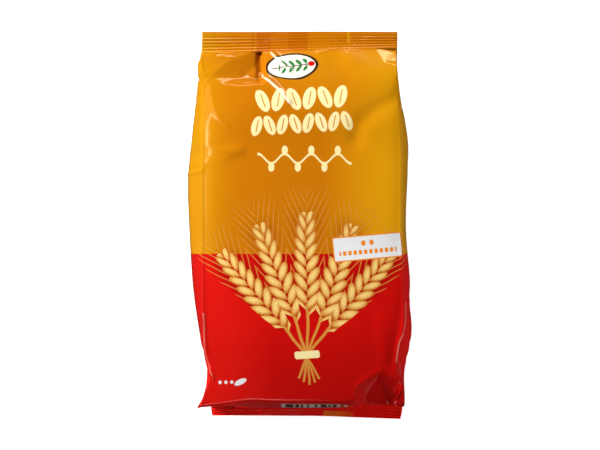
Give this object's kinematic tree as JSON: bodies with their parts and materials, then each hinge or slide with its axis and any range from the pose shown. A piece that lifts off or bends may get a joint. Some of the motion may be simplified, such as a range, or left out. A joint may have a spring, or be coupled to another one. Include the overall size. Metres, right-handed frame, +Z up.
{
  "type": "gusseted film snack bag",
  "caption": "Sealed, filled bag of glossy film with folded side gussets and a ribbed seal at each end, lying on its back with its front up.",
  "frame": {"origin": "on the surface under the bag, in the middle of the bag's box", "axes": "X across the bag, +Y towards the top seal, +Z up through the front panel"},
  "size_m": [0.1562, 0.2728, 0.0707],
  "materials": {
    "printed_film": "glossy printed film"
  },
  "bodies": {
    "root": {"film_bag": "printed_film"}
  },
  "joints": []
}
